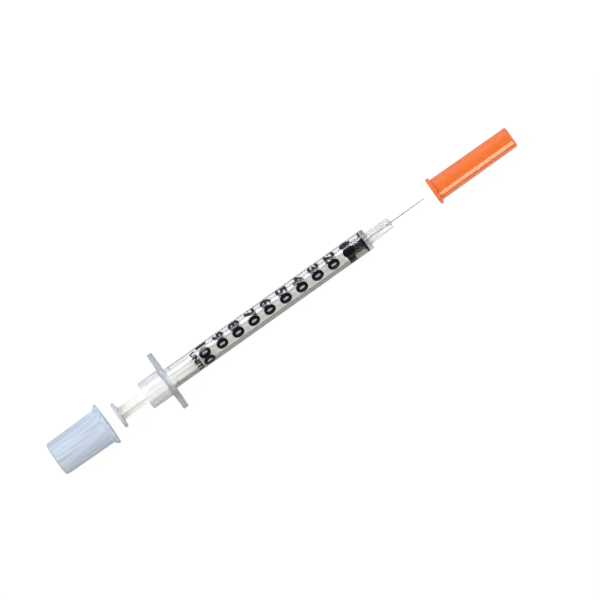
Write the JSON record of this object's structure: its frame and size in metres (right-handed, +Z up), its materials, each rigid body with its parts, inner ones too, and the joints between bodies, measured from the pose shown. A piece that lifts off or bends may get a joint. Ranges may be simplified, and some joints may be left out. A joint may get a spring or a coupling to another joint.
{
  "type": "insulin syringe",
  "caption": "Disposable insulin syringe with a graduated clear barrel, fixed needle, sliding plunger with rubber stopper, orange needle shield and translucent plunger cap.",
  "frame": {"origin": "on the barrel's axis at the front face of the finger flange", "axes": "+X along the barrel's axis towards the needle, +Y along the finger flange, +Z up out of the flange's flat side"},
  "size_m": [0.1649, 0.0194, 0.014],
  "materials": {
    "barrel": "clear polypropylene, glossy",
    "needle": "drawn stainless steel tube with a ground point",
    "needle_adhesive": "cured clear adhesive",
    "plunger_rod": "natural white polyethylene, satin",
    "stopper": "black rubber, lubricated",
    "needle_shield": "orange polyethylene, satin",
    "plunger_cap": "translucent natural polyethylene, satin"
  },
  "bodies": {
    "barrel": {"barrel": "barrel", "needle": "needle", "needle_adhesive": "needle_adhesive"},
    "plunger": {"plunger_rod": "plunger_rod", "stopper": "stopper"},
    "needle_shield": {"needle_shield": "needle_shield"},
    "plunger_cap": {"plunger_cap": "plunger_cap"}
  },
  "joints": [
    {"name": "plunger_slide", "type": "slide", "parent": "barrel", "child": "plunger", "axis": [-1, 0, 0], "range_m": [0, 0.0576]},
    {"name": "needle_shield_slide", "type": "slide", "parent": "barrel", "child": "needle_shield", "axis": [-1, 0, 0], "range_m": [0, 0.0234]},
    {"name": "plunger_cap_slide", "type": "slide", "parent": "plunger", "child": "plunger_cap", "axis": [1, 0, 0], "range_m": [0, 0.0205]}
  ]
}
